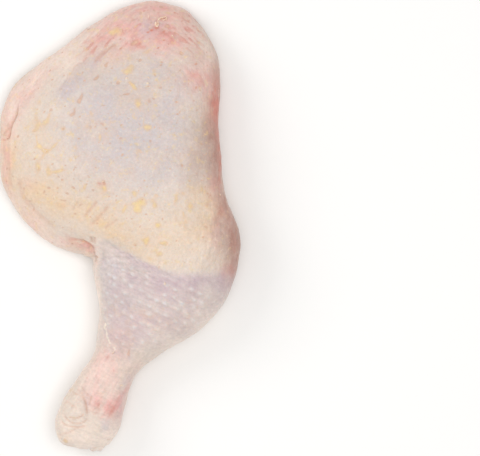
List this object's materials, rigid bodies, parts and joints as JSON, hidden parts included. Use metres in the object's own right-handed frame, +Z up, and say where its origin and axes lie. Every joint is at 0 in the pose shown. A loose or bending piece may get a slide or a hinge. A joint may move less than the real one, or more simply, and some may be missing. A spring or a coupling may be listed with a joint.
{
  "type": "raw chicken leg quarter",
  "caption": "Raw chicken leg quarter, thigh and drumstick in one piece, lying flat with its pale, damp skin side up and its meat side down.",
  "frame": {"origin": "centre of the underside of the part's box, on the table", "axes": "+Y along the leg from the hock end towards the hip end, +X across it towards the knee, +Z up, out of the skin side"},
  "size_m": [0.124, 0.23, 0.0397],
  "materials": {
    "skin": "damp raw skin, cream over the thigh, lavender-grey where it is thin, pink at the rims, with pores and goose bumps",
    "meat": "wet raw meat, pink, with the grain of its muscles and paler membrane and fat"
  },
  "bodies": {
    "root": {"leg_quarter": "skin"}
  },
  "joints": []
}
